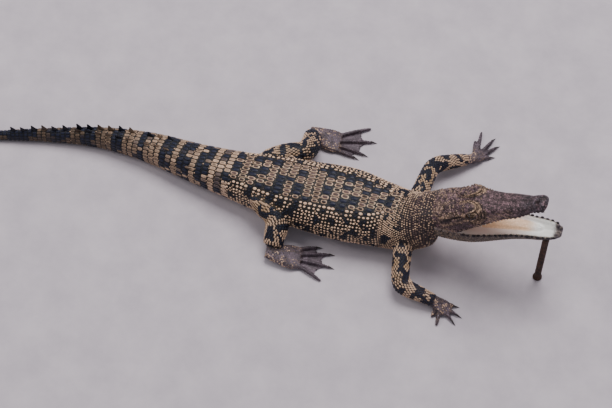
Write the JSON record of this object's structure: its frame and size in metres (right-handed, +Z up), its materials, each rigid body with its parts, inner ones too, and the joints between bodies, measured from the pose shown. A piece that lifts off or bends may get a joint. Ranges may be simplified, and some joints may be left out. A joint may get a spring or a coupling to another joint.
{
  "type": "saltwater crocodile",
  "caption": "Life-size young crocodile lying on its belly, legs spread, head raised and jaws agape, with an upright nail under the lower jaw and a long crested tail",
  "frame": {"origin": "bottom centre of the whole model's box, on the floor", "axes": "+X towards the head, +Y to the animal's left, +Z up; the tail curves to the right, towards -Y"},
  "size_m": [0.5234, 0.1844, 0.109],
  "materials": {
    "hide": "dry scaly hide, cream and tan scales with bluish black spots and bands",
    "mouth": "moist pale pink lining",
    "eye": "wet gloss, dark with an upright slit",
    "claw": "dark horn",
    "tooth": "ivory, satin",
    "rust": "rusted, rough"
  },
  "bodies": {
    "root": {"claw_foot_left_1": "claw", "claw_foot_left_2": "claw", "claw_foot_left_3": "claw", "claw_foot_right_1": "claw", "claw_foot_right_2": "claw", "claw_foot_right_3": "claw", "claw_hand_left_1": "claw", "claw_hand_left_2": "claw", "claw_hand_left_3": "claw", "claw_hand_right_1": "claw", "claw_hand_right_2": "claw", "claw_hand_right_3": "claw", "eye_left": "eye", "eye_right": "eye", "foot_left": "hide", "foot_right": "hide", "forearm_left": "hide", "forearm_right": "hide", "hand_left": "hide", "hand_right": "hide", "head": "hide", "lower_jaw": "hide", "neck": "hide", "shank_left": "hide", "shank_right": "hide", "stand_jaw_nail": "rust", "tail_1": "hide", "tail_2": "hide", "tail_3": "hide", "tail_4": "hide", "tail_5": "hide", "thigh_left": "hide", "thigh_right": "hide", "tongue": "mouth", "trunk": "hide", "upper_arm_left": "hide", "upper_arm_right": "hide"}
  },
  "joints": []
}
